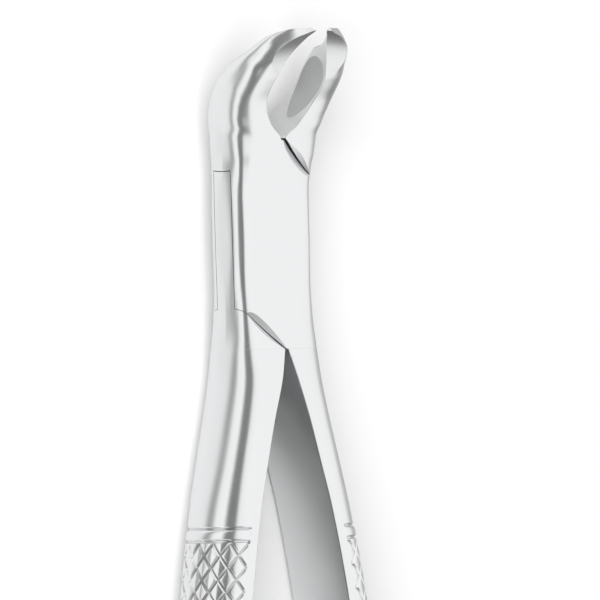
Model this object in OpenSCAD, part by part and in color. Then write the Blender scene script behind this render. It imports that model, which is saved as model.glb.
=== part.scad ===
// Lower molar extraction forceps with a box joint.
// Frame: X is the way the jaws open, Y runs along the handles towards the beaks, and Z is the
// hinge axis. The origin is where the hinge axis meets the flat underside of the joint.
// Each limb is one forging: a beak on one side of the joint and a handle on the other.

/* [Joint] */
// Thickness of the joint along the hinge axis
joint_t = 8.2; // [8.0:0.1:8.6]
// Thickness of the tongue that runs through the box
tongue_t = 4.2; // [3.8:0.1:4.4]
// Gap between the tongue and each cheek of the box
tongue_gap = 0.04; // [0.02:0.01:0.08]
// Radius of the arc that closes the slot at each end
slot_r = 12.45; // [12.0:0.05:12.6]
// Radius of the joint pin
pin_r = 2.4; // [1.8:0.1:2.8]
// Radial running clearance of the pin in the tongue
pin_gap = 0.04; // [0.02:0.01:0.08]

/* [Motion] */
// How far the handles can close from the rest pose, in degrees
close_deg = 1.5; // [0.5:0.1:1.5]
// Angle left between the shoulders when the handles are closed
shoulder_gap_deg = 0.25; // [0.15:0.05:0.4]

/* [Beak] */
// Where the beak starts to bend
bend_start = 14.5; // [14:0.1:15]
// Radius of the bend, along the middle of the beak
bend_r = 12; // [11.5:0.1:13]
// Angle that the beak turns away from the handles
bend_deg = 57; // [55:1:62]
// Straight length from the end of the bend to the tip
beak_l = 11; // [10.8:0.1:11.5]
// Length and width of the oval recess in the gripping face
recess_l = 11.7; // [9:0.1:12]
recess_w = 6.4; // [5:0.1:6.6]
// Depth of the oval recess
recess_d = 0.6; // [0.4:0.05:0.8]
// Radius of the hollow grinding on the front of the tip
front_hollow_r = 13; // [12:0.5:16]
// Radius of the hollow grinding on the back of the tip
back_hollow_r = 11; // [10:0.5:14]

/* [Handle] */
// Distance from the hinge axis to the end of the handles
handle_l = 138.7; // [136:0.1:142]
// Where the textured grip starts and ends
grip_start = 44.25; // [43:0.05:46]
grip_end = 107.8; // [104:0.1:109]
// Depth of the two ring grooves at each end of the grip
groove_d = 0.3; // [0.1:0.05:0.4]
// Height of the plain edge beside the gripping surface
edge_h = 1.2; // [1.0:0.1:1.4]

/* [Hidden] */
eps = 0.02;
far = 60;
mid_z = joint_t / 2;
bend_l = bend_r * bend_deg * PI / 180;
tip_t = bend_start + bend_l + beak_l;
root_t = 14.8;        // the beaks part here
crotch_t = -16;       // the handles part here
square_n = 40;        // superellipse exponent of a sharp corner
beak_rise = 0.8;      // how far the beaks' middle lies above the joint's
rise_from = 6;
handle_rise = 1;      // how far the handles' middle lies above the joint's
handle_rise_l = 50;
section_steps = 32;
groove_w = 0.6;
groove_pitch = 1.85;
bore_r = pin_r;
part_gap = 0.25;      // half the gap between the limbs where they part
tongue_end_gap = 0.05;
// Where the tip's hollows start at the gap, along the beak and across it, and how they tilt
box_front_corner = [30.7, 2.6];
tongue_front_corner = [29.1, 3.3];
back_corner = [29, -2.25];
front_tilt = 0.12;
back_tilt = 0.38;
// The tip's distance from the middle, its place across the beak, and half its width
tip_x = 1.35;
tip_b = 0.2;
tip_half = 0.2;
// The oval recess: its middle along and across the beak
recess_t = 24.1;
recess_b = 0.8;
recess_lean = 2.5;    // how far the gripping face leans along the recess, in degrees
face_hollow = 1.1;    // how hollow the gripping face already is along the recess

// Beak sections: [distance along the limb, outer face, gripping face at the front edge,
// front edge, back edge, roundness exponent, twist of the gripping face].
beak_rows = [
    [root_t + eps,  7.65, 0.25, 5.00, 4.75, 4.0, 0.00],
    [16.0,          7.82, 0.80, 5.17, 4.80, 3.7, 0.16],
    [18.0,          8.16, 2.15, 5.22, 4.20, 3.9, 0.36],
    [20.0,          8.45, 3.00, 5.05, 3.55, 4.0, 0.40],
    [22.0,          8.68, 3.70, 4.85, 3.05, 3.9, 0.38],
    [24.5,          8.88, 4.30, 4.45, 2.70, 3.6, 0.28],
    [27.0,          8.88, 4.65, 3.95, 2.45, 3.3, 0.14],
    [29.0,          8.68, 4.62, 3.35, 2.25, 3.0, 0.05],
    [30.7,          8.25, 4.25, 2.75, 2.20, 2.7, 0.00],
    [32.3,          7.70, 3.65, 2.50, 2.25, 2.7, 0.00],
    [33.8,          6.90, 2.90, 2.40, 2.35, 2.6, 0.00],
    [35.1,          5.65, 2.25, 2.40, 2.40, 2.5, 0.00],
    [36.4,          4.00, 1.60, 2.40, 2.40, 2.4, 0.00],
    [tip_t - 0.4,   2.50, 1.15, 2.40, 2.40, 2.4, 0.00],
    [tip_t,         1.80, 1.00, 2.40, 2.40, 2.4, 0.00]
];

// Joint block sections: [distance, half width, front edge, back edge, roundness exponent,
// how much of the facet along its edges there is].
joint_rows = [
    [root_t,   7.65, 5.00, 4.75,  4.0, 0.0],
    [12.5,     7.37, 4.67, 4.57,  4.7, 0.1],
    [10.5,     7.12, 4.37, 4.36,  6.0, 0.6],
    [8,        6.95, 4.12, 4.12,  9.0, 1.0],
    [0,        6.83, 4.10, 4.10, 11.0, 1.0],
    [-6.5,     6.84, 4.14, 4.14,  9.0, 1.0],
    [-11,      6.92, 4.68, 4.68,  5.8, 0.4],
    [crotch_t, 7.20, 5.55, 5.55,  3.7, 0.0]
];
facet = [1.98, 2.74]; // the slant of the joint's facets and how far out they lie

// Handle sections: [distance, inner face, thickness, half breadth, roundness exponent].
handle_rows = [
    [crotch_t - eps,    0.25, 6.95, 5.55, 3.7],
    [-20.5,             1.45, 6.28, 6.28, 3.0],
    [-26,               3.15, 5.75, 6.45, 2.7],
    [-31.5,             4.60, 5.65, 6.50, 2.6],
    [-39.6,             6.60, 5.70, 6.60, 2.3],
    [-50,               8.50, 5.80, 6.65, 2.2],
    [-58,               9.60, 5.80, 6.60, 2.2],
    [-66,              10.10, 5.80, 6.50, 2.2],
    [-76,               9.90, 5.70, 6.45, 2.2],
    [-89,               8.60, 5.40, 6.60, 2.2],
    [-104,              6.70, 4.80, 7.10, 2.2],
    [-111.5,            5.70, 4.30, 7.50, 2.3],
    [-120,              4.75, 5.00, 7.95, 2.4],
    [-128,              3.95, 5.90, 8.00, 2.4],
    [-131.5,            3.70, 6.00, 7.90, 2.4],
    [-134.5,            3.55, 5.95, 7.10, 2.3],
    [-136.8,            3.60, 5.40, 5.20, 2.2],
    [0.6 - handle_l,    3.75, 4.40, 3.20, 2.2],
    [-handle_l,         4.10, 3.40, 1.60, 2.2]
];

// ---- Smooth interpolation through the rows of a table ----
function slope(rows, i) =
    let (a = rows[max(i - 1, 0)], b = rows[min(i + 1, len(rows) - 1)]) (b - a) / (b[0] - a[0]);
function cubic(a, b, slope_a, slope_b, s, span) =
    a * (1 + 2 * s) * (1 - s) * (1 - s) + b * s * s * (3 - 2 * s)
    + slope_a * span * s * (1 - s) * (1 - s) - slope_b * span * s * s * (1 - s);
function between(rows, i, s) =
    cubic(rows[i], rows[i + 1], slope(rows, i), slope(rows, i + 1), s, rows[i + 1][0] - rows[i][0]);
function row_of(rows, t, i = 0) =
    i >= len(rows) - 2 || abs(t - rows[0][0]) <= abs(rows[i + 1][0] - rows[0][0]) ? i
    : row_of(rows, t, i + 1);
function at(rows, t) =
    let (i = row_of(rows, t)) between(rows, i, (t - rows[i][0]) / (rows[i + 1][0] - rows[i][0]));

// ---- The limb's centre line, in the plane X = 0 ----
function bend_at(t) = min(max(t - bend_start, 0), bend_l) / bend_l * bend_deg;
function centre_at(t) =
    let (a = bend_at(t), past = max(t - bend_start - bend_l, 0))
    [min(t, bend_start) + bend_r * sin(a) + past * cos(a), bend_r * (1 - cos(a)) + past * sin(a)];
function eased(s) = let (u = min(max(s, 0), 1)) u * u * (3 - 2 * u);
function rise_at(t) =
    beak_rise * eased((t - rise_from) / (root_t - rise_from))
    + handle_rise * eased((crotch_t - t) / handle_rise_l);
function place(t, x, b) =
    let (a = bend_at(t), c = centre_at(t))
    [x, c[0] - b * sin(a), mid_z + c[1] + rise_at(t) + b * cos(a)];

// ---- Cross-sections. X runs from left to right and b from the back to the front. ----
function edge_point(a, n, ground) =
    let (
        u = abs(cos(a)), v = abs(sin(a)),
        q = pow(pow(u, n) + pow(v, n) + ground * pow((facet[0] * u + v) / facet[1], n), -1 / n)
    ) [q * cos(a), q * sin(a)];
function section(t, left, right, centre, front, back, n_left, n_right, twist = 0, ground = 0) = [
    for (i = [0:section_steps - 1])
        let (
            a = 360 * i / section_steps,
            e = edge_point(a, cos(a) < 0 ? n_left : n_right, ground),
            b = (front - back) / 2 + e[1] * (front + back) / 2,
            lean = twist * (front - b),
            x = centre - lean + e[0] * (e[0] < 0 ? centre - lean - left : right - centre)
        ) place(t, x, b)
];

// The plain rim beside the gripping face widens away from the joint and narrows to the tip.
function rim_at(t) = 0.1 + 0.35 * eased((t - root_t) / 3) * (1 - 0.8 * eased((t - 24) / 8));
function beak_section(t) =
    let (r = at(beak_rows, t))
    section(t, -r[1], -r[2], -r[2] - rim_at(t), r[3], r[4], r[5], square_n, r[6]);
function joint_section(t) =
    let (r = at(joint_rows, t))
    section(t, -r[1], r[1], 0, r[2], r[3], r[4], r[4], ground = min(max(r[5], 0), 1));
function in_groove(t, centre) =
    min(1, max(0, (groove_w - abs(t - centre)) / (groove_w / 2)));
function groove_at(t) =
    let (g = [for (c = groove_centres) in_groove(t, c)]) groove_d * max(g);
function handle_section(t) =
    let (r = at(handle_rows, t), rim = min(edge_h, r[2] / 3))
    section(t, r[1], r[1] + r[2] - groove_at(t), r[1] + rim, r[3], r[3], square_n, r[4]);

groove_centres = [
    -grip_start + groove_w / 2, -grip_start + groove_w / 2 + groove_pitch,
    -grip_end - groove_w / 2, -grip_end - groove_w / 2 - groove_pitch
];

// ---- Stations along the limb, from the tip to the end of the handle ----
function steps(from, to, n) = [for (i = [0:n]) from + (to - from) * i / n];
function groove_steps(c) = [c + groove_w, c + groove_w / 2, c - groove_w / 2, c - groove_w];
beak_stations = concat(
    [tip_t, tip_t - 0.4], steps(36.4, 20, 14), steps(19, root_t + 1.2, 4), [root_t + eps]);
joint_stations = [root_t, 13, 11, 8.5, 4, 0, -5.5, -8, -11, -13.5, crotch_t];
handle_stations = concat(
    [crotch_t - eps], steps(-18, -39.6, 9),
    groove_steps(groove_centres[1]), groove_steps(groove_centres[0]),
    steps(-47, -104, 17),
    groove_steps(groove_centres[2]), groove_steps(groove_centres[3]),
    steps(-114, -131.5, 6), [-133, -134.5, -135.8, -136.8, 0.6 - handle_l, -handle_l]);

// The outside of one limb before the joint is cut: its beak at -X and its handle at +X.
module limb_skin() {
    rings = concat(
        [for (t = beak_stations) beak_section(t)],
        [for (t = joint_stations) joint_section(t)],
        [for (t = handle_stations) handle_section(t)]);
    m = section_steps;
    last = len(rings) - 1;
    points = [for (ring = rings) each ring];
    walls = [
        for (k = [0:last - 1], i = [0:m - 1])
            let (j = (i + 1) % m, a = k * m + i, b = k * m + j, c = a + m, d = b + m)
            each [[a, c, b], [b, c, d]]
    ];
    near_cap = [for (i = [0:m - 1]) i];
    far_cap = [for (i = [m - 1:-1:0]) last * m + i];
    polyhedron(points, concat(walls, [near_cap], [far_cap]));
}

// ---- Joint outlines, drawn in the XY plane ----
// The upper shoulder line runs from the parting of the beaks to the right edge of the joint,
// and the lower one from the left edge to the parting of the handles.
upper_in = [0, root_t];
upper_out = [7, 8.6];
lower_in = [0, crotch_t];
lower_out = [-7, -9.8];

function beyond(p, q, k) = q + (q - p) * k;

// The band between the two shoulder lines, which the cheeks of the box fill.
module cheek_band() {
    polygon([
        beyond(upper_out, upper_in, 4), beyond(upper_in, upper_out, 4),
        beyond(lower_in, lower_out, -5), beyond(lower_in, lower_out, 4)
    ]);
}

// The corner of the joint past one shoulder line, on the side of the other limb's beak.
module upper_corner() {
    top = root_t + 0.6;
    polygon([
        upper_in, beyond(upper_in, upper_out, 1), [far, upper_out[1]], [far, top],
        [-part_gap, top], [-part_gap, root_t]
    ]);
}
module lower_corner() {
    bottom = crotch_t - 0.6;
    polygon([
        lower_in, beyond(lower_in, lower_out, 1), [-far, lower_out[1]], [-far, bottom],
        [part_gap, bottom], [part_gap, crotch_t]
    ]);
}

// One quarter of the joint outside the slot's arcs, on each side, with a gap to the centre line.
module outside_arcs(radius, gap) {
    difference() {
        union() {
            translate([-far - gap, 0]) square([far, far / 2]);
            translate([gap, -far / 2]) square([far, far / 2]);
        }
        circle(r = radius, $fn = 96);
    }
}

module slab(z0, z1) {
    translate([0, 0, z0]) linear_extrude(z1 - z0) children();
}

// ---- Beak cutters, in the beak's own place on the limb with its beak at -X ----
// Moves children from the spine's frame at t to the limb's frame: local Y runs along the beak,
// local Z towards its front edge.
module on_beak(t, x, b) {
    translate(place(t, x, b)) rotate([bend_at(t), 0, 0]) children();
}

// The hollow grinding that narrows the tip: a cylinder whose wall passes through the corner
// where the bevel starts, at the gap, and through the tip. tilt is how far the cylinder moves off
// the beak for each millimetre away from the gap.
module hollow(t0, b0, side, radius, tilt) {
    grip = at(beak_rows, t0)[2];
    off_beak = [-sin(bend_deg), cos(bend_deg)] * side;
    p = place(t0, 0, b0);
    tip = place(tip_t, 0, tip_b + tip_half * side);
    q = [tip[1], tip[2]] + off_beak * tilt * (grip - tip_x);
    dy = q[0] - p[1];
    dz = q[1] - p[2];
    chord = sqrt(dy * dy + dz * dz);
    off = side * sqrt(radius * radius - chord * chord / 4) / chord;
    lean = off_beak * tilt;
    multmatrix([
        [1, 0, 0, 0],
        [-lean[0], 1, 0, (p[1] + q[0]) / 2 - dz * off - lean[0] * grip],
        [-lean[1], 0, 1, (p[2] + q[1]) / 2 + dy * off - lean[1] * grip],
        [0, 0, 0, 1]
    ])
        rotate([0, 90, 0]) cylinder(r = radius, h = far, center = true, $fn = 128);
}

// The oval recess: a ring's outer surface pressed into the gripping face.
module oval_recess() {
    tube = (pow(recess_w / 2, 2) + recess_d * recess_d) / (2 * recess_d);
    bow = recess_d + face_hollow;
    ring = (pow(recess_l / 2, 2) + bow * bow) / (2 * bow);
    r = at(beak_rows, recess_t);
    face = r[2] + r[6] * (r[3] - recess_b);
    on_beak(recess_t, -face, recess_b)
        rotate([0, atan(r[6]), 0]) rotate([0, 0, recess_lean])
            translate([ring - recess_d, 0, 0])
                rotate_extrude($fn = 128) intersection() {
                    translate([ring - tube, 0]) circle(r = tube, $fn = 96);
                    translate([0, -far / 2]) square([far / 2, far]);
                }
}

// front_corner is where the front bevel starts, along the beak and towards its front edge.
module beak_cuts(front_corner) {
    hollow(front_corner[0], front_corner[1], 1, front_hollow_r, front_tilt);
    hollow(back_corner[0], back_corner[1], -1, back_hollow_r, back_tilt);
    oval_recess();
}

module joint_bore(r) {
    translate([0, 0, -far / 2]) cylinder(r = r, h = far, $fn = 96);
}

// ---- The three pieces ----
// The outer limb: its cheeks form the box that the tongue passes through.
module box_half() {
    color("gainsboro") difference() {
        limb_skin();
        slab(-far, far) upper_corner();
        slab(-far, far) lower_corner();
        slab(mid_z - tongue_t / 2, mid_z + tongue_t / 2) difference() {
            square(2 * root_t + 8, center = true);
            outside_arcs(slot_r, part_gap);
        }
        joint_bore(bore_r);
        beak_cuts(box_front_corner);
    }
}

// The inner limb: the mirror image of the outer one, thinned to a tongue where it crosses it.
module tongue_half() {
    cheek_z = tongue_t / 2 - tongue_gap;
    color("silver") difference() {
        mirror([1, 0, 0]) difference() {
            limb_skin();
            beak_cuts(tongue_front_corner);
        }
        slab(-far, far) outside_arcs(slot_r - tongue_end_gap, -part_gap);
        rotate([0, 0, -close_deg - shoulder_gap_deg]) {
            slab(mid_z + cheek_z, far) cheek_band();
            slab(-far, mid_z - cheek_z) cheek_band();
        }
        joint_bore(bore_r + pin_gap);
    }
}

// The pin is riveted into both cheeks and ground flush.
module joint_pin() {
    color("darkgray") cylinder(r = pin_r, h = joint_t, $fn = 96);
}

box_half();
tongue_half();
joint_pin();
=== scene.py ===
"""Extraction forceps: the visual model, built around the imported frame.

Lengths are millimetres until a mesh is made. Each limb is one forging: a beak on one side of the
joint and a handle on the other. The limb is lofted along its centre line, then the joint, the tip
bevels and the oval recess are cut out of it, as they are ground out of the real forging.
"""

import math

import bmesh
import bpy
import numpy as np
from mathutils import Matrix, Vector


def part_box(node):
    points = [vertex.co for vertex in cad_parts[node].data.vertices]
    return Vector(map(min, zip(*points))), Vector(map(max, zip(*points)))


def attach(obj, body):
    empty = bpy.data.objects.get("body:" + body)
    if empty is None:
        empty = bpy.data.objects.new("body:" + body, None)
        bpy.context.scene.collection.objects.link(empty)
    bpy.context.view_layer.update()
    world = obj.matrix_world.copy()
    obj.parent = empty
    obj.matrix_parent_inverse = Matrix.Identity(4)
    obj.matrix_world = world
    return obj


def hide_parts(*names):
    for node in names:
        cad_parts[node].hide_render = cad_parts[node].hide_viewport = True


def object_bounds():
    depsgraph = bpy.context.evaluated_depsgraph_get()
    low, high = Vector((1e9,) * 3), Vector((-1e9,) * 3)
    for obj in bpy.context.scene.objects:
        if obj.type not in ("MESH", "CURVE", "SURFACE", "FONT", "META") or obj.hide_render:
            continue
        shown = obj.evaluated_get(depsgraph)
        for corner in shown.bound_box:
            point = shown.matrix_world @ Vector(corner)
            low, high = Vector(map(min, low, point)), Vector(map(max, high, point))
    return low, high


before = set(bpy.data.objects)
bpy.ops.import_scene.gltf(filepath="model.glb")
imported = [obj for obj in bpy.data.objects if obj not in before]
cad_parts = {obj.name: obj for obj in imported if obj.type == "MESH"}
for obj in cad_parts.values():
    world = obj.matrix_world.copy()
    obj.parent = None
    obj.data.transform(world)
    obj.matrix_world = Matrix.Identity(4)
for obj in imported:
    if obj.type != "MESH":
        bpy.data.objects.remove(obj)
cad_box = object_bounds()
MM = 0.001

# ---- Driving dimensions ----
PIN_LOW, PIN_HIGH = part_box("joint_pin")
JOINT_T = (PIN_HIGH.z - PIN_LOW.z) / MM
PIN_R = (PIN_HIGH.x - PIN_LOW.x) / 2 / MM
MID_Z = JOINT_T / 2
TONGUE_T = 4.2
TONGUE_GAP = 0.10
SLOT_R = 12.45
HANDLE_L = 138.7
CLOSE_DEG = 1.75

BEND_START = 14.5
BEND_R = 12.0
BEND_ANGLE = math.radians(57)
BEND_L = BEND_R * BEND_ANGLE
BEND_EASE = 2.0
BEAK_L = 11.0
TIP_T = BEND_START + BEND_L + BEAK_L
ROOT_T = 14.8
CROTCH_T = -16.0

# How far the beaks' and the handles' middles lie above the joint's, and over what length.
RISE, RISE_FROM = 0.8, 6.0
HANDLE_RISE, HANDLE_RISE_L = 1.0, 50.0

GRIP_START = 44.25
GRIP_END = 107.8
EDGE_H = 1.2
CHAMFER = 0.12

# The grip's diamonds: how many half diamonds lie around and along it, and mesh cells in each.
HALF_AROUND = 12
HALF_ALONG = 36
CELLS = 8
GROOVE_SHARE = 0.27
GROOVE_D = 0.26
PYRAMID_H = 0.10

# The ring grooves beside the grip, and the bead between the two of each pair.
RING_W, RING_D = 0.6, 0.28
BEAD_W, BEAD_H = 1.25, 0.12

# The rim of the gripping face: its width at the joint, what it gains and over what length, and
# what share of the gain it loses again, from where and over what length.
RIM_W, RIM_GAIN, RIM_GAIN_L = 0.1, 0.35, 3
RIM_LOSS, RIM_LOSS_T, RIM_LOSS_L = 0.8, 24, 8

# Where each side's rounding starts across the joint, and how that start moves out from a station
# of the joint to the beak on the left and to the handle on the right.
ROUND_START = 0.05
LEFT_OUT, LEFT_OUT_T = 0.3, 13
RIGHT_OUT, RIGHT_OUT_T = 1.4, -8

# The pad at the handle's end: its round outline, the lip around it, and how its middle lies
# between the inner and the outer face.
PAD_L, PAD_N = 8.5, 2.3
LIP_L = 2.6
PAD_MIDDLE = 0.45

# The hollow along the handle's inner face, and the length over which it fades in.
HOLLOW_D, HOLLOW_L = 0.16, 12

# Mesh stations along the handle: close together beside the grip and wide apart elsewhere.
FINE, COARSE = 0.083, 0.4
COARSE_TO, FINE_FROM = -41.5, -41.6
FINE_TO, COARSE_FROM = -110.8, -111.2
PLAIN_TO, ROUND_FROM = -130.0, -130.2

# Beak: distance along the limb, outer face, gripping face at the front edge, front edge, back
# edge, roundness exponent, twist of the gripping face.
BEAK_ROWS = [
    (14.8, 7.65, 0.25, 4.97, 4.75, 4.0, 0.00),
    (16.0, 7.82, 0.80, 5.09, 4.80, 3.65, 0.16),
    (18.0, 8.32, 2.15, 5.17, 4.20, 3.2, 0.36),
    (20.0, 8.72, 3.00, 5.05, 3.60, 2.9, 0.40),
    (22.0, 8.98, 3.70, 4.85, 3.15, 2.8, 0.38),
    (24.5, 9.12, 4.30, 4.45, 2.80, 2.8, 0.28),
    (27.0, 9.00, 4.65, 3.95, 2.50, 2.8, 0.14),
    (29.0, 8.72, 4.62, 3.35, 2.28, 2.8, 0.05),
    (30.7, 8.25, 4.25, 2.75, 2.20, 2.7, 0.00),
    (32.3, 7.70, 3.65, 2.50, 2.25, 2.7, 0.00),
    (33.8, 6.90, 2.90, 2.40, 2.35, 2.6, 0.00),
    (35.1, 5.65, 2.25, 2.40, 2.40, 2.5, 0.00),
    (36.4, 4.00, 1.60, 2.40, 2.40, 2.4, 0.00),
    (TIP_T - 0.4, 2.50, 1.15, 2.40, 2.40, 2.4, 0.00),
    (TIP_T, 1.80, 1.00, 2.40, 2.40, 2.4, 0.00),
]

# Joint block: distance, half width, front edge, back edge, roundness exponent, and how much of
# the facet along its edges there is.
JOINT_ROWS = [
    (14.8, 7.65, 4.97, 4.75, 4.0, 0.0),
    (12.5, 7.40, 4.75, 4.57, 5.0, 0.1),
    (10.5, 7.20, 4.40, 4.38, 8.0, 0.5),
    (8.0, 7.03, 4.14, 4.14, 16.0, 1.0),
    (0.0, 6.93, 4.10, 4.10, 24.0, 1.0),
    (-6.5, 6.93, 4.14, 4.14, 16.0, 1.0),
    (-11.0, 6.98, 4.68, 4.68, 7.5, 0.5),
    (-16.0, 7.20, 5.55, 5.55, 3.7, 0.0),
]

# Handle: distance, inner face, thickness, half breadth, roundness exponent.
HANDLE_ROWS = [
    (-16.0, 0.25, 6.95, 5.55, 3.7),
    (-20.5, 1.45, 6.28, 6.28, 3.0),
    (-26.0, 3.15, 5.75, 6.45, 2.7),
    (-31.5, 4.60, 5.65, 6.50, 2.6),
    (-39.6, 6.60, 5.70, 6.60, 2.3),
    (-50.0, 8.50, 5.80, 6.65, 2.2),
    (-58.0, 9.60, 5.80, 6.60, 2.2),
    (-66.0, 10.10, 5.80, 6.50, 2.2),
    (-76.0, 9.90, 5.70, 6.45, 2.2),
    (-89.0, 8.60, 5.40, 6.60, 2.2),
    (-104.0, 6.70, 4.80, 7.10, 2.2),
    (-111.5, 5.70, 4.30, 7.50, 2.3),
    (-120.0, 4.75, 5.00, 7.95, 2.4),
    (-128.0, 3.95, 5.90, 8.00, 2.4),
    (-133.5, 3.55, 6.00, 7.95, 2.4),
    (-138.7, 3.60, 5.60, 7.80, 2.4),
]


# ---- Smooth curves through the rows of a table ----
def at(rows, t):
    """The columns of rows, but the first, at each distance in t, along smooth cubics."""
    table = np.array(sorted(rows), float)
    x, y = table[:, 0], table[:, 1:]
    last = len(x) - 1
    before = np.maximum(np.arange(last + 1) - 1, 0)
    after = np.minimum(np.arange(last + 1) + 1, last)
    slope = (y[after] - y[before]) / (x[after] - x[before])[:, None]
    i = np.clip(np.searchsorted(x, t) - 1, 0, last - 1)
    span = (x[i + 1] - x[i])[:, None]
    s = ((t - x[i]) / (x[i + 1] - x[i]))[:, None]
    ends = y[i] * (1 + 2 * s) * (1 - s) ** 2 + y[i + 1] * s**2 * (3 - 2 * s)
    return ends + span * (slope[i] * s * (1 - s) ** 2 - slope[i + 1] * s**2 * (1 - s))


def eased(s):
    s = np.clip(s, 0, 1)
    return s * s * (3 - 2 * s)


def bend_at(t):
    """The angle that the centre line has turned through, easing in and out of the bend."""
    def ramp(u):
        return np.where(u > BEND_EASE, u, np.maximum(u + BEND_EASE, 0) ** 2 / (4 * BEND_EASE))
    return (ramp(t - BEND_START) - ramp(t - BEND_START - BEND_L)) / BEND_R


LINE_T = np.linspace(0, 60, 3001)
LINE_STEP = LINE_T[1] - LINE_T[0]
LINE_ANGLE = bend_at(LINE_T + LINE_STEP / 2)
LINE_Y = np.concatenate([[0], np.cumsum(np.cos(LINE_ANGLE))[:-1]]) * LINE_STEP
LINE_Z = np.concatenate([[0], np.cumsum(np.sin(LINE_ANGLE))[:-1]]) * LINE_STEP


def place(t, x, b):
    """Points at distance t along the centre line, x across it and b from its back to its front."""
    angle = bend_at(t)
    y = np.where(t > 0, np.interp(t, LINE_T, LINE_Y), t)
    z = np.interp(t, LINE_T, LINE_Z) + RISE * eased((t - RISE_FROM) / (ROOT_T - RISE_FROM))
    z = z + HANDLE_RISE * eased((CROTCH_T - t) / HANDLE_RISE_L)
    return np.stack([x + 0 * y, y - b * np.sin(angle), MID_Z + z + b * np.cos(angle)], -1)


# ---- Cross-sections ----
KNURL_COLUMNS = HALF_AROUND * CELLS
EDGE_SHARE = 0.03
AROUND = np.concatenate([
    [0, EDGE_SHARE / 2],
    np.linspace(EDGE_SHARE, 1 - EDGE_SHARE, KNURL_COLUMNS + 1),
    [1 - EDGE_SHARE / 2, 1],
])
SIDE = len(AROUND)

# The slanting line along which the joint's corners are ground off, in shares of the section's
# half sizes: FACET[0] of its width plus one of its depth make FACET[1].
FACET = 1.98, 2.67


def convex_side(centre, reach, front, back, n, facet, width=None):
    """Half a superellipse for each ring, from back to front, with points evenly spaced along it.

    facet is how much its two corners are ground off, along the slanting line of FACET. width is
    the true width of each ring, where x is stretched afterwards.
    """
    phi = np.radians(np.linspace(-90, 90, 721))
    cos, sin = np.abs(np.cos(phi)), np.abs(np.sin(phi))
    x, b = [], []
    for c, r, f, k, e, g, w in zip(centre, reach, front, back, n, facet, reach if width is None else width):
        ground = g * ((FACET[0] * cos + sin) / FACET[1]) ** e
        q = (cos**e + sin**e + ground) ** (-1 / e)
        px = c + r * q * cos
        pb = (f - k) / 2 + q * np.sin(phi) * (f + k) / 2
        length = np.concatenate([[0], np.cumsum(np.hypot(np.diff(px) * w / r, np.diff(pb)))])
        x.append(np.interp(AROUND * length[-1], length, px))
        b.append(np.interp(AROUND * length[-1], length, pb))
    return np.array(x), np.array(b)


RIM_N, ROUND_N = 4, 4
GRIP_COLUMNS = (np.abs(np.arange(SIDE) - (SIDE - 1) / 2) < SIDE / 2 - RIM_N - ROUND_N).astype(float)


def flat_side(centre_back, centre_front, face, front, back, twist, hollow):
    """A plain edge, a flat face and a plain edge again, with a fine rounding at both corners."""
    face_n = SIDE - 2 * (RIM_N + ROUND_N)
    out = np.sign(face - centre_back)
    cut = np.minimum(CHAMFER, np.abs(face - centre_front) / 3)
    turn = np.radians(np.linspace(0, 90, ROUND_N + 2))[1:-1]
    xs, bs = [], []
    for c0, c1, x0, f, k, w, h, o, r in zip(
            centre_back, centre_front, face, front, back, twist, hollow, out, cut):
        def face_x(b):
            middle = 1 - (2 * (b + k) / (f + k) - 1) ** 2
            return x0 - o * w * (f - b) - o * h * middle
        back_x, front_x = face_x(-k), face_x(f)
        flat_b = np.linspace(-k + r, f - r, face_n)
        x = [
            np.linspace(c0, back_x - o * r, RIM_N),
            back_x - o * r + o * r * np.sin(turn),
            face_x(flat_b),
            front_x - o * r + o * r * np.cos(turn),
            np.linspace(front_x - o * r, c1, RIM_N),
        ]
        b = [
            np.full(RIM_N, -k),
            -k + r - r * np.cos(turn),
            flat_b,
            f - r + r * np.sin(turn),
            np.full(RIM_N, f),
        ]
        xs.append(np.concatenate(x))
        bs.append(np.concatenate(b))
    return np.array(xs), np.array(bs)


def rings(t, left, right):
    """Joins the left side, back to front, and the right side, front to back, into closed rings."""
    x = np.concatenate([left[0], right[0][:, ::-1]], 1)
    b = np.concatenate([left[1], right[1][:, ::-1]], 1)
    return place(t[:, None], x, b)


# The oval recess in the gripping face, with its place along and across the beak.
RECESS_L, RECESS_W, RECESS_D = 11.7, 6.4, 0.62
RECESS_T, RECESS_B, RECESS_TURN = 24.1, 0.80, math.radians(2)
SERRATIONS, SERRATION_D = 12, 0.03


def recess_depth(t, b):
    """How deep the oval recess and its fine lengthwise serrations are at a point of the face."""
    dt, db = t - RECESS_T, b - RECESS_B
    along = dt * math.cos(RECESS_TURN) + db * math.sin(RECESS_TURN)
    across = db * math.cos(RECESS_TURN) - dt * math.sin(RECESS_TURN)
    bowl = 1 - (2 * along / RECESS_L) ** 2 - (2 * across / RECESS_W) ** 2
    wave = 1 + np.cos(2 * math.pi * SERRATIONS * across / RECESS_W)
    return np.where(bowl > 0, RECESS_D * np.maximum(bowl, 0) + SERRATION_D * wave / 2, 0)


def beak_rings(t):
    outer, grip, front, back, n, twist = at(BEAK_ROWS, t).T
    loss = RIM_LOSS * eased((t - RIM_LOSS_T) / RIM_LOSS_L)
    rim = RIM_W + RIM_GAIN * eased((t - ROOT_T) / RIM_GAIN_L) * (1 - loss)
    # The outer side starts from a line that leans as the gripping face does.
    start = grip + rim
    left_x, left_b = convex_side(0 * t, 1 + 0 * t, front, back, n, 0 * t, outer - start)
    start_b = start[:, None] + twist[:, None] * (front[:, None] - left_b)
    left = (-start_b - (outer[:, None] - start_b) * left_x, left_b)
    lean = twist * (front + back)
    right_x, right_b = flat_side(-start - lean, -start, -grip, front, back, twist, 0 * t)
    depth = recess_depth(t[:, None], right_b) * GRIP_COLUMNS
    in_recess = np.concatenate([0 * depth, depth[:, ::-1]], 1) > 0
    return rings(t, left, (right_x - depth, right_b)), in_recess


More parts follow.
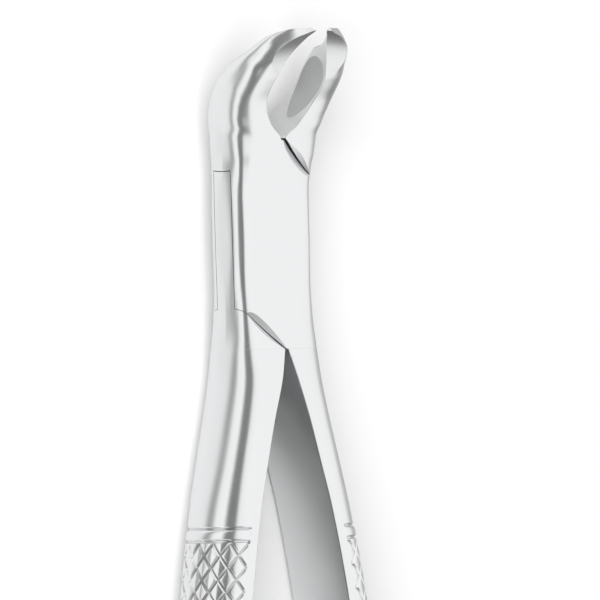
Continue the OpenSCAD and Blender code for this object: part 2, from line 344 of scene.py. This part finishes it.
def joint_rings(t):
    """Each side's rounding starts where the beak's and the handle's own roundings start."""
    half, front, back, n, facet = at(JOINT_ROWS, t).T
    facet = np.clip(facet, 0, 1)
    to_beak = np.clip((t - LEFT_OUT_T) / (ROOT_T - LEFT_OUT_T), 0, 1)
    to_handle = np.clip((RIGHT_OUT_T - t) / (RIGHT_OUT_T - CROTCH_T), 0, 1)
    left_from = ROUND_START + LEFT_OUT * to_beak**3
    right_from = ROUND_START + RIGHT_OUT * to_handle**1.5
    left_x, left_b = convex_side(left_from, half - left_from, front, back, n, facet)
    right = convex_side(right_from, half - right_from, front, back, n, facet)
    return rings(t, (-left_x, left_b), right)


# ---- Grip texture and bands ----
def diamond_relief(column, row):
    """Height of the diamond pattern, and whether the nearer groove runs with column + row."""
    p, q = column / CELLS, row / CELLS
    rising = np.abs((p + q + 1) % 2 - 1)
    falling = np.abs((p - q + 1) % 2 - 1)
    near = np.minimum(rising, falling)
    groove = -GROOVE_D * np.clip(1 - near / GROOVE_SHARE, 0, 1)
    return groove + PYRAMID_H * near, rising < falling


def band_relief(d, start, direction):
    """Two ring grooves and the bead between them, beside one end of the grip."""
    from_grip = (d - start) * direction
    first = np.clip(1 - np.abs(from_grip - RING_W / 2) / (RING_W / 2), 0, 1)
    second_at = RING_W * 1.5 + BEAD_W
    second = np.clip(1 - np.abs(from_grip - second_at) / (RING_W / 2), 0, 1)
    bead = np.sqrt(np.clip(1 - ((from_grip - RING_W - BEAD_W / 2) / (BEAD_W / 2)) ** 2, 0, 1))
    return -RING_D * (first + second) + BEAD_H * bead


def handle_relief(t):
    """How far the outer surface stands out from its plain shape: one row for each ring."""
    relief = np.zeros((len(t), SIDE))
    column = np.arange(KNURL_COLUMNS + 1)
    step = (GRIP_END - GRIP_START) / (HALF_ALONG * CELLS)
    d = -t
    in_grip = (d > GRIP_START - step / 2) & (d < GRIP_END + step / 2)
    row = np.round((d[in_grip] - GRIP_START) / step)
    relief[in_grip, 2:-2] = diamond_relief(column[None, :], row[:, None])[0]
    bands = band_relief(d, GRIP_START, -1) + band_relief(d, GRIP_END, 1)
    relief[~in_grip, 2:-2] = bands[~in_grip, None]
    return relief


def handle_rings(t):
    face, thick, half, n = at(HANDLE_ROWS, t).T
    end = -HANDLE_L
    far_s = np.clip(1 - (t - end) / PAD_L, 0, 1)
    lip_s = np.clip(1 - (t - end) / LIP_L, 0, 1)
    # The last ring keeps a small size, so that the end closes without doubled points.
    half = half * np.maximum(1 - far_s**PAD_N, 0.0) ** (1 / PAD_N) + 0.02
    squeeze = np.maximum(1 - lip_s**2, 0.0) ** 0.5
    middle = face + thick * PAD_MIDDLE
    outer = middle + (face + thick - middle) * squeeze + 0.01
    face = middle + (face - middle) * squeeze
    rim = np.minimum(EDGE_H, (outer - face) / 3)
    fade = np.clip((CROTCH_T - t) / HOLLOW_L, 0, 1)
    left = flat_side(face + rim, face + rim, face, half, half, 0 * t, -HOLLOW_D * fade * squeeze)
    x, b = convex_side(face + rim, outer - face - rim, half, half, n, 0 * t)
    along_x, along_b = np.gradient(x, axis=1), np.gradient(b, axis=1)
    size = np.hypot(along_x, along_b) + 1e-9
    relief = handle_relief(t)
    return rings(t, left, (x + relief * along_b / size, b - relief * along_x / size))


# ---- The limb's skin ----
def spaced(start, end, step):
    return np.linspace(start, end, max(2, int(round(abs(end - start) / step)) + 1))


def handle_stations():
    grip = -np.linspace(GRIP_START, GRIP_END, HALF_ALONG * CELLS + 1)
    neck = spaced(CROTCH_T - 0.02, COARSE_TO, COARSE)
    above = spaced(FINE_FROM, -GRIP_START, FINE)
    below = spaced(-GRIP_END, FINE_TO, FINE)
    plain = spaced(COARSE_FROM, PLAIN_TO, COARSE)
    round_off = np.radians(np.linspace(0, 90, 34))
    end = ROUND_FROM - (HANDLE_L + ROUND_FROM) * np.sin(round_off)
    return np.concatenate([neck, above[:-1], grip, below[1:], plain, end])


def limb_mesh(name):
    """The forging before the joint is cut, with its beak at -X and its handle at +X."""
    beak_t = np.concatenate([[TIP_T, TIP_T - 0.15], spaced(TIP_T - 0.4, ROOT_T + 0.02, 0.13)])
    joint_t = spaced(ROOT_T, CROTCH_T, 0.5)
    handle_t = handle_stations()
    beak_ring, in_recess = beak_rings(beak_t)
    ring = np.concatenate([beak_ring, joint_rings(joint_t), handle_rings(handle_t)])
    count, size = ring.shape[:2]
    first_grip = len(beak_t) + len(joint_t) + int(np.argmin(np.abs(handle_t + GRIP_START)))
    faces = []
    for i in range(count - 1):
        row = i - first_grip
        in_grip = 0 <= row < HALF_ALONG * CELLS
        for j in range(size):
            a, b = i * size + j, i * size + (j + 1) % size
            c, d = a + size, b + size
            # The right side runs from front to back, so its columns count down.
            column = 2 * SIDE - 1 - j - 2
            if in_grip and j >= SIDE and 1 <= column <= KNURL_COLUMNS:
                rising = diamond_relief(np.array(column - 0.5), np.array(row + 0.5))[1]
                faces += [(a, c, d), (a, d, b)] if rising else [(a, c, b), (b, c, d)]
            else:
                faces.append((a, c, d, b))
    faces.append(tuple(range(size)))
    faces.append(tuple((count - 1) * size + j for j in reversed(range(size))))
    mesh = bpy.data.meshes.new(name)
    mesh.from_pydata((ring.reshape(-1, 3) * MM).tolist(), [], faces)
    finish = np.zeros(len(faces), int)
    # Faces of the oval recess take slot 2: the rougher recess steel, whose darker colour is painted shade.
    finish[:in_recess.size] = np.where(in_recess.ravel(), 2, 0)
    mesh.polygons.foreach_set("material_index", finish)
    return mesh


# ---- Cutters ----
def solid(name, verts, faces, finish=0):
    """A closed helper solid. finish is the material slot that its cut faces get."""
    mesh = bpy.data.meshes.new(name)
    mesh.from_pydata([[c * MM for c in v] for v in verts], [], faces)
    outward(mesh)
    mesh.polygons.foreach_set("material_index", [finish] * len(mesh.polygons))
    return mesh


def outward(mesh):
    bm = bmesh.new()
    bm.from_mesh(mesh)
    bmesh.ops.recalc_face_normals(bm, faces=bm.faces)
    bm.to_mesh(mesh)
    bm.free()


def prism(name, outline, low, high, finish=0):
    n = len(outline)
    verts = [(x, y, low) for x, y in outline] + [(x, y, high) for x, y in outline]
    walls = [(i, (i + 1) % n, n + (i + 1) % n, n + i) for i in range(n)]
    return solid(name, verts, walls + [tuple(range(n)), tuple(range(n, 2 * n))], finish)


def arc(radius, start, end, n=49):
    angles = np.radians(np.linspace(start, end, n))
    return [(radius * math.cos(a), radius * math.sin(a)) for a in angles]


FAR = 60.0
PART_GAP = 0.25
PIN_PLAY = 0.04
TIP_X, TIP_B, TIP_HALF = 1.35, 0.2, 0.2

# Where each hollow grinding of the tips starts along and across the beak, its radius and its tilt.
BOX_FRONT, TONGUE_FRONT, BACK = (30.7, 2.6), (29.1, 3.3), (29.0, -2.25)
FRONT_R, FRONT_TILT = 13, 0.12
BACK_R, BACK_TILT = 11, 0.38

# How wide and how deep the bite along each shoulder line is.
BOX_UPPER, BOX_LOWER = (1.0, 0.5), (0.5, 0.35)
TONGUE_UPPER, TONGUE_LOWER = (0.35, 0.35), (0.4, 0.35)
UPPER_IN, UPPER_OUT = np.array([0, ROOT_T]), np.array([7.0, 8.6])
LOWER_IN, LOWER_OUT = np.array([0, CROTCH_T]), np.array([-7.0, -9.8])


def beyond(p, q, k):
    return tuple(q + (q - p) * k)


def turned(point, degrees):
    """A point of the joint's plane, turned about the hinge axis."""
    a = math.radians(degrees)
    x, y = point
    return np.array([x * math.cos(a) - y * math.sin(a), x * math.sin(a) + y * math.cos(a)])


def slot_cutter():
    """The way through the box: a disc, opened out to the sides that the tongue leaves by."""
    edge = math.degrees(math.asin(PART_GAP / SLOT_R))
    reach = ROOT_T + 4
    upper = arc(SLOT_R, 180, 90 + edge)
    lower = arc(SLOT_R, 0, -90 + edge)
    outline = upper + [(-PART_GAP, reach), (reach, reach), (reach, 0)]
    outline += lower + [(PART_GAP, -reach), (-reach, -reach), (-reach, 0)]
    return prism("slot", outline, MID_Z - TONGUE_T / 2, MID_Z + TONGUE_T / 2, 1)


def outside_cutters():
    """What the tongue's ends lose so that they turn inside the slot."""
    r = SLOT_R - TONGUE_GAP
    edge = math.degrees(math.asin(PART_GAP / r))
    upper = arc(r, 180, 90 - edge) + [(PART_GAP, FAR / 2), (-FAR, FAR / 2), (-FAR, 0)]
    lower = arc(r, 0, -90 - edge) + [(-PART_GAP, -FAR / 2), (FAR, -FAR / 2), (FAR, 0)]
    return [prism("outside", o, -FAR, FAR, 1) for o in (upper, lower)]


def corner_cutters():
    """The corners of the block that belong to the other limb."""
    top, bottom = ROOT_T + 0.6, CROTCH_T - 0.6
    upper = [tuple(UPPER_IN), beyond(UPPER_IN, UPPER_OUT, 1), (FAR, UPPER_OUT[1]), (FAR, top)]
    upper += [(-PART_GAP, top), (-PART_GAP, ROOT_T)]
    lower = [tuple(LOWER_IN), beyond(LOWER_IN, LOWER_OUT, 1), (-FAR, LOWER_OUT[1]), (-FAR, bottom)]
    lower += [(PART_GAP, bottom), (PART_GAP, CROTCH_T)]
    return [prism("corner", o, -FAR, FAR, 1) for o in (upper, lower)]


def cheek_cutters():
    """The room for the cheeks above and below the tongue, turned by the angle left to close."""
    band = [
        beyond(UPPER_OUT, UPPER_IN, 4), beyond(UPPER_IN, UPPER_OUT, 4),
        beyond(LOWER_IN, LOWER_OUT, -5), beyond(LOWER_IN, LOWER_OUT, 4),
    ]
    band = [turned(point, -CLOSE_DEG) for point in band]
    half = TONGUE_T / 2 - TONGUE_GAP
    return [
        prism("cheek_room", band, MID_Z + half, FAR, 1),
        prism("cheek_room", band, -FAR, MID_Z - half, 1),
    ]


def joint_face(point, up):
    """A point of the joint's plane, lifted to the block's front or back."""
    half, front, back, n, _ = at(JOINT_ROWS, np.array([float(point[1])]))[0]
    round_off = (1 - min(abs(point[0]) / half, 0.97) ** n) ** (1 / n)
    b = front * round_off if up > 0 else -back * round_off
    return place(np.array(float(point[1])), float(point[0]), np.array(b))


def shoulder_cutters(p, q, side, depth, drop):
    """A shallow bite along one shoulder line, between the line and an arc, front and back.

    Its floor is part of a cone: at the joint's face it reaches depth away from the line, and at
    the line's middle it is drop deep.
    """
    rise, margin, steps = 1.2, 0.5, 40
    cutters = []
    for up in (1, -1):
        p3, q3 = joint_face(p, up), joint_face(q, up)
        half = np.linalg.norm(q3 - p3) / 2
        r = (half**2 + depth**2) / (2 * depth)
        inner = r - depth - margin
        along = (q3 - p3) / (2 * half)
        out = np.cross([0, 0, 1], along) * side
        out /= np.linalg.norm(out)
        normal = np.cross(along, out) * side * up
        centre = (p3 + q3) / 2 - out * (r - depth)
        verts, heights = [], (-drop - margin * drop / depth, -drop, 0, rise)
        for h in heights:
            radius = r + h * depth / drop + 1e-4
            spread = math.acos(inner / radius)
            for a in np.linspace(-spread, spread, steps):
                verts.append(centre + radius * (out * math.cos(a) + along * math.sin(a)) + normal * h)
        last = (len(heights) - 1) * steps
        faces = [tuple(range(steps)), tuple(range(last, last + steps))]
        for k in range(len(heights) - 1):
            a, b = k * steps, (k + 1) * steps
            faces += [(a + i, a + i + 1, b + i + 1, b + i) for i in range(steps - 1)]
            faces.append((a + steps - 1, a, b, b + steps - 1))
        cutters.append(solid("shoulder", verts, faces, 1))
    return cutters


def bore_cutter(radius):
    return prism("bore", arc(radius, 0, 360, 129)[:-1], -FAR, FAR, 1)


def hollow_cutter(t0, b0, side, radius, tilt):
    """The hollow grinding on one side of the tip, from its corner at the gap to the tip.

    tilt is how far the grinding moves off the beak for each millimetre away from the gap.
    """
    grip = at(BEAK_ROWS, np.array([t0]))[0][1]
    off_beak = np.array([-math.sin(BEND_ANGLE), math.cos(BEND_ANGLE)]) * side
    p = place(np.array(t0), 0.0, np.array(b0))[1:]
    q = place(np.array(TIP_T), 0.0, np.array(TIP_B + TIP_HALF * side))[1:]
    q = q + off_beak * tilt * (grip - TIP_X)
    chord = np.linalg.norm(q - p)
    square = np.array([q[1] - p[1], p[0] - q[0]]) / -chord * side
    centre = (p + q) / 2 + square * math.sqrt(radius**2 - chord**2 / 4)
    ring = [centre + np.array(point) for point in arc(radius, 0, 360, 361)[:-1]]
    n = len(ring)
    verts = []
    for x in (-FAR / 2, FAR / 2):
        verts += [(x, *(point + off_beak * tilt * (-grip - x))) for point in ring]
    walls = [(i, (i + 1) % n, n + (i + 1) % n, n + i) for i in range(n)]
    return solid("hollow", verts, walls + [tuple(range(n)), tuple(range(n, 2 * n))], 1)


def mirrored(mesh):
    mesh.transform(Matrix.Scale(-1, 4, (1, 0, 0)))
    mesh.flip_normals()
    return mesh


def beak_cutters(front_corner):
    front = hollow_cutter(*front_corner, 1, FRONT_R, FRONT_TILT)
    return [front, hollow_cutter(*BACK, -1, BACK_R, BACK_TILT)]


def carve(mesh, cutters, materials):
    """Takes each cutter out of the mesh and returns the result as an object."""
    outward(mesh)
    body = bpy.data.objects.new(mesh.name, mesh)
    bpy.context.scene.collection.objects.link(body)
    for material in materials:
        mesh.materials.append(material)
    helpers = []
    for cutter in cutters:
        helper = bpy.data.objects.new("helper", cutter)
        bpy.context.scene.collection.objects.link(helper)
        helpers.append(helper)
        cut = body.modifiers.new("cut", "BOOLEAN")
        cut.operation = "DIFFERENCE"
        cut.solver = "MANIFOLD"
        cut.object = helper
    bpy.context.view_layer.update()
    graph = bpy.context.evaluated_depsgraph_get()
    carved = bpy.data.meshes.new_from_object(body.evaluated_get(graph))
    carved.name = mesh.name
    body.modifiers.clear()
    body.data = carved
    for helper in helpers:
        bpy.data.objects.remove(helper)
    # Clearing the slots also resets the faces' finish and the recess's painted shade, so these are put back
    # afterwards.
    finish = np.zeros(len(carved.polygons), np.int32)
    carved.polygons.foreach_get("material_index", finish)
    carved.materials.clear()
    for material in materials:
        carved.materials.append(material)
    carved.polygons.foreach_set("material_index", np.clip(finish, 0, len(materials) - 1))
    carved.polygons.foreach_set("use_smooth", [True] * len(carved.polygons))
    carved.set_sharp_from_angle(angle=math.radians(24))
    return body


# ---- Materials ----
def new_material(name):
    material = bpy.data.materials.new(name)
    material.use_nodes = True
    nodes = material.node_tree.nodes
    return material, nodes, material.node_tree.links, nodes["Principled BSDF"]


# Slow changes over the steel: their size, the darker tint, and the spread of the roughness.
CLOUD_SCALE = 90.0
DARKER = 0.97
SMOOTHER, ROUGHER = 0.03, 0.04
BRUSH_DEPTH = 0.00002


def steel(name, colour, rough, brush, brush_scale):
    """Stainless steel: fine brushing along the limb, and soft changes in its roughness."""
    material, nodes, links, shader = new_material(name)
    shader.inputs["Metallic"].default_value = 1.0
    where = nodes.new("ShaderNodeTexCoord")
    stretch = nodes.new("ShaderNodeMapping")
    stretch.inputs["Scale"].default_value = brush_scale
    links.new(where.outputs["Object"], stretch.inputs["Vector"])
    lines = nodes.new("ShaderNodeTexNoise")
    lines.inputs["Scale"].default_value = 1.0
    lines.inputs["Detail"].default_value = 4.0
    links.new(stretch.outputs["Vector"], lines.inputs["Vector"])
    cloud = nodes.new("ShaderNodeTexNoise")
    cloud.inputs["Scale"].default_value = CLOUD_SCALE
    cloud.inputs["Detail"].default_value = 3.0
    links.new(where.outputs["Object"], cloud.inputs["Vector"])
    rough_map = nodes.new("ShaderNodeMapRange")
    rough_map.inputs["From Min"].default_value = 0.3
    rough_map.inputs["From Max"].default_value = 0.7
    rough_map.inputs["To Min"].default_value = rough - SMOOTHER
    rough_map.inputs["To Max"].default_value = rough + ROUGHER
    links.new(cloud.outputs["Fac"], rough_map.inputs["Value"])
    links.new(rough_map.outputs["Result"], shader.inputs["Roughness"])
    tint = nodes.new("ShaderNodeMix")
    tint.data_type = "RGBA"
    tint.inputs["A"].default_value = [c * DARKER for c in colour] + [1]
    tint.inputs["B"].default_value = list(colour) + [1]
    links.new(cloud.outputs["Fac"], tint.inputs["Factor"])
    links.new(tint.outputs["Result"], shader.inputs["Base Color"])
    bump = nodes.new("ShaderNodeBump")
    bump.inputs["Strength"].default_value = brush
    bump.inputs["Distance"].default_value = BRUSH_DEPTH
    links.new(lines.outputs["Fac"], bump.inputs["Height"])
    links.new(bump.outputs["Normal"], shader.inputs["Normal"])
    return material


# ---- Build ----
FORGED = steel("forged_steel", (0.72, 0.725, 0.73), 0.20, 0.25, (9000, 260, 9000))
GROUND = steel("ground_steel", (0.70, 0.705, 0.71), 0.22, 0.35, (9000, 700, 9000))
# The recess steel is rougher, as a serrated face is, and its darker colour is painted shade for the
# recess's shading and dark outline.
RECESS_PAINTED_SHADE_STEEL = steel("recess_steel_painted_shade", (0.50, 0.505, 0.51), 0.36, 0.3, (5000, 5000, 5000))
FINISHES_AND_PAINTED_SHADE = [FORGED, GROUND, RECESS_PAINTED_SHADE_STEEL]

box_skin = limb_mesh("box_limb_body")
box_cuts = corner_cutters() + [slot_cutter()]
box_cuts += shoulder_cutters(UPPER_IN, UPPER_OUT, -1, *BOX_UPPER)
box_cuts += shoulder_cutters(LOWER_OUT, LOWER_IN, 1, *BOX_LOWER)
box_cuts += [bore_cutter(PIN_R)] + beak_cutters(BOX_FRONT)
box_limb = carve(box_skin, box_cuts, FINISHES_AND_PAINTED_SHADE)

tongue_skin = mirrored(limb_mesh("tongue_limb_body"))
tongue_cuts = [mirrored(c) for c in beak_cutters(TONGUE_FRONT)]
tongue_cuts += outside_cutters() + cheek_cutters() + [bore_cutter(PIN_R + PIN_PLAY)]
turned_ends = [turned(end, -CLOSE_DEG) for end in (UPPER_IN, UPPER_OUT, LOWER_OUT, LOWER_IN)]
tongue_cuts += shoulder_cutters(turned_ends[0], turned_ends[1], 1, *TONGUE_UPPER)
tongue_cuts += shoulder_cutters(turned_ends[2], turned_ends[3], -1, *TONGUE_LOWER)
tongue_limb = carve(tongue_skin, tongue_cuts, FINISHES_AND_PAINTED_SHADE)

LIMBS = [(box_limb, "box_limb", "box_half"), (tongue_limb, "tongue_limb", "tongue_half")]
for piece, body, node in LIMBS:
    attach(piece, body)
    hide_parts(node)
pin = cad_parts["joint_pin"]
pin.data.materials.clear()
pin.data.materials.append(FORGED)


# ---- Studio ----
FLOOR_HALF, FLOOR_GAP = 12.0, 0.0002
PALE = 0.93


def studio_floor():
    mesh = bpy.data.meshes.new("floor")
    z = cad_box[0][2] - FLOOR_GAP
    corners = [(-1, -1), (1, -1), (1, 1), (-1, 1)]
    mesh.from_pydata([(x * FLOOR_HALF, y * FLOOR_HALF, z) for x, y in corners], [], [(0, 1, 2, 3)])
    floor = bpy.data.objects.new("floor", mesh)
    bpy.context.scene.collection.objects.link(floor)
    material, nodes, links, shader = new_material("floor_paint")
    shader.inputs["Roughness"].default_value = 0.9
    # The steel sees the floor as if the panels went on below it, with the floor's own shadows.
    ray_from = nodes.new("ShaderNodeNewGeometry")
    ray_to = nodes.new("ShaderNodeVectorMath")
    ray_to.operation = "SCALE"
    ray_to.inputs["Scale"].default_value = -1
    links.new(ray_from.outputs["Incoming"], ray_to.inputs[0])
    ray = nodes.new("ShaderNodeLightPath")
    paint = nodes.new("ShaderNodeMix")
    paint.inputs["A"].default_value = PALE
    links.new(ray.outputs["Is Glossy Ray"], paint.inputs["Factor"])
    links.new(panel_brightness(material.node_tree, ray_to.outputs[0]), paint.inputs["B"])
    links.new(paint.outputs[0], shader.inputs["Base Color"])
    mesh.materials.append(material)


# The studio's panels, as brightness against the angle about the instrument's long axis: 0 is
# straight up and 90 is towards +X. The dark gaps between them draw the soft stripes on the steel.
PANELS = [
    (-180, 0.95), (-152, 0.98), (-140, 0.93), (-134, 0.38), (-127, 0.35), (-115, 1.00), (-92, 1.00),
    (-76, 0.28), (-54, 0.28), (-36, 1.10), (0, 1.22), (60, 1.18), (84, 0.80), (118, 0.50),
    (140, 0.50), (160, 0.85), (180, 0.95),
]

# Dark cards below the beaks: the angles they fill, how far down the long axis they reach, and
# how much light they take.
CARDS = [(-48, 6, -1.2, -0.62, 0.85), (86, 140, -1.2, -0.42, 0.75)]
# How softly the cards end: in radians about the long axis, and in the direction's Y.
SOFT_ANGLE, SOFT_DOWN = 0.14, 0.42
# What share of the panels' light is kept from matt surfaces, which here is the floor.
LESS_ON_FLOOR = 0.6


def windowed(tree, value, low, high, soft):
    """Nodes that give 1 where value lies between low and high, with soft ends."""
    sides = []
    for edge in (low, high):
        side = tree.nodes.new("ShaderNodeMapRange")
        side.interpolation_type = "SMOOTHSTEP"
        side.inputs["From Min"].default_value = edge - soft
        side.inputs["From Max"].default_value = edge + soft
        tree.links.new(value, side.inputs["Value"])
        sides.append(side.outputs["Result"])
    return combined(tree, "SUBTRACT", sides[0], sides[1])


def combined(tree, operation, a, b):
    node = tree.nodes.new("ShaderNodeMath")
    node.operation = operation
    for socket, source in zip(node.inputs, (a, b)):
        if isinstance(source, float):
            socket.default_value = source
        else:
            tree.links.new(source, socket)
    return node.outputs[0]


def panel_brightness(tree, direction):
    """Nodes that turn a direction into the brightness of the panel that lies that way."""
    nodes, links = tree.nodes, tree.links
    split = nodes.new("ShaderNodeSeparateXYZ")
    links.new(direction, split.inputs["Vector"])
    angle = nodes.new("ShaderNodeMath")
    angle.operation = "ARCTAN2"
    links.new(split.outputs["X"], angle.inputs[0])
    links.new(split.outputs["Z"], angle.inputs[1])
    turn = nodes.new("ShaderNodeMapRange")
    turn.inputs["From Min"].default_value = -math.pi
    turn.inputs["From Max"].default_value = math.pi
    links.new(angle.outputs[0], turn.inputs["Value"])
    curve = nodes.new("ShaderNodeFloatCurve")
    top = max(value for _, value in PANELS)
    points = curve.mapping.curves[0].points
    while len(points) < len(PANELS):
        points.new(0.5, 0.5)
    for point, (degrees, value) in zip(points, PANELS):
        point.location = ((degrees + 180) / 360, value / top)
        point.handle_type = "AUTO_CLAMPED"
    curve.mapping.update()
    links.new(turn.outputs["Result"], curve.inputs["Value"])
    light = combined(tree, "MULTIPLY", curve.outputs["Value"], top)
    for angle_low, angle_high, down_low, down_high, dark in CARDS:
        ends = math.radians(angle_low), math.radians(angle_high)
        across = windowed(tree, angle.outputs[0], *ends, SOFT_ANGLE)
        down = windowed(tree, split.outputs["Y"], down_low, down_high, SOFT_DOWN)
        shade = combined(tree, "MULTIPLY", combined(tree, "MULTIPLY", across, down), dark)
        light = combined(tree, "MULTIPLY", light, combined(tree, "SUBTRACT", 1.0, shade))
    return light


def studio_world():
    world = bpy.data.worlds.new("studio")
    bpy.context.scene.world = world
    world.use_nodes = True
    nodes, links = world.node_tree.nodes, world.node_tree.links
    where = nodes.new("ShaderNodeTexCoord")
    panels = nodes["Background"]
    links.new(panel_brightness(world.node_tree, where.outputs["Generated"]), panels.inputs["Color"])
    # The camera itself sees a plain pale backdrop.
    plain = nodes.new("ShaderNodeBackground")
    plain.inputs["Color"].default_value = (PALE, PALE, PALE, 1)
    ray = nodes.new("ShaderNodeLightPath")
    # The floor takes less light from the panels, so that the softbox fills its shadows.
    on_floor = ray.outputs["Is Diffuse Ray"]
    lift = combined(world.node_tree, "MULTIPLY", on_floor, -LESS_ON_FLOOR)
    links.new(combined(world.node_tree, "ADD", lift, 1.0), panels.inputs["Strength"])
    mix = nodes.new("ShaderNodeMixShader")
    links.new(ray.outputs["Is Camera Ray"], mix.inputs["Fac"])
    links.new(panels.outputs[0], mix.inputs[1])
    links.new(plain.outputs[0], mix.inputs[2])
    links.new(mix.outputs[0], nodes["World Output"].inputs["Surface"])


def softbox(name, where, target, size, power):
    data = bpy.data.lights.new(name, "AREA")
    data.shape = "RECTANGLE"
    data.size, data.size_y = size
    data.energy = power
    light = bpy.data.objects.new(name, data)
    bpy.context.scene.collection.objects.link(light)
    light.location = where
    light.rotation_euler = (Vector(target) - Vector(where)).to_track_quat("-Z", "Y").to_euler()
    light.visible_glossy = False


# The camera looks down on the instrument from its left, with its long axis nearly upright.
TURN = math.radians(38)
ROLL = math.radians(1.4)
VIEW_W = 0.088
LENS, SENSOR = 1000.0, 36.0
CENTRE_RIGHT, CENTRE_UP = 0.00572, -0.0088


def studio_camera():
    away = Vector((-math.sin(TURN), 0, math.cos(TURN)))
    across = Vector((math.cos(TURN), 0, math.sin(TURN)))
    along = Vector((0, 1, 0))
    right = across * math.cos(ROLL) - along * math.sin(ROLL)
    up = across * math.sin(ROLL) + along * math.cos(ROLL)
    target = Vector((0, 0, MID_Z * MM)) + right * CENTRE_RIGHT + up * CENTRE_UP
    data = bpy.data.cameras.new("camera")
    data.lens, data.sensor_width = LENS, SENSOR
    data.clip_start, data.clip_end = 0.05, 60
    camera = bpy.data.objects.new("camera", data)
    bpy.context.scene.collection.objects.link(camera)
    turn = Matrix((right, up, away)).transposed().to_4x4()
    camera.matrix_world = Matrix.Translation(target + away * VIEW_W * LENS / SENSOR) @ turn
    bpy.context.scene.camera = camera


studio_floor()
studio_world()
CENTRE = (0, -0.03, 0.005)
softbox("key", (-0.85, 0.05, 1.0), CENTRE, (1.2, 1.2), 22)
studio_camera()
bpy.context.scene.view_settings.view_transform = "Standard"
